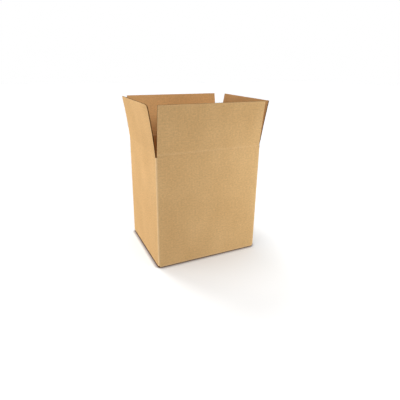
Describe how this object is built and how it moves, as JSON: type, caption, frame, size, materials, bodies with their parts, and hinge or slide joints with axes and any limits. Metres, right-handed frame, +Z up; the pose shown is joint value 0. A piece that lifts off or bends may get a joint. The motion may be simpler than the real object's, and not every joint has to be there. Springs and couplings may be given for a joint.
{
  "type": "open cardboard box",
  "caption": "Tall corrugated shipping carton with its taped bottom closed and hinged top flaps standing open.",
  "frame": {"origin": "middle of the carton's footprint, on the surface that it stands on", "axes": "+Z up, +X along the long walls, +Y from the front wall to the back wall"},
  "size_m": [0.5734, 0.4761, 0.7307],
  "materials": {
    "kraft_board": "matt kraft paper",
    "buff_tape": "glossy film"
  },
  "bodies": {
    "carton": {"carton_body": "kraft_board", "bottom_tape": "buff_tape"},
    "front_top_flap": {"front_flap": "kraft_board"},
    "right_top_flap": {"right_flap": "kraft_board"},
    "back_top_flap": {"back_flap": "kraft_board"},
    "left_top_flap": {"left_flap": "kraft_board"}
  },
  "joints": [
    {"name": "front_crease", "type": "hinge", "parent": "carton", "child": "front_top_flap", "pos_m": [0, -0.206, 0.5267], "axis": [1, 0, 0], "range_deg": [-97, 163]},
    {"name": "right_crease", "type": "hinge", "parent": "carton", "child": "right_top_flap", "pos_m": [0.254, 0, 0.5224], "axis": [0, 1, 0], "range_deg": [-100, 160]},
    {"name": "back_crease", "type": "hinge", "parent": "carton", "child": "back_top_flap", "pos_m": [0, 0.206, 0.5267], "axis": [-1, 0, 0], "range_deg": [-101, 159]},
    {"name": "left_crease", "type": "hinge", "parent": "carton", "child": "left_top_flap", "pos_m": [-0.254, 0, 0.5224], "axis": [0, -1, 0], "range_deg": [-98, 162]}
  ]
}
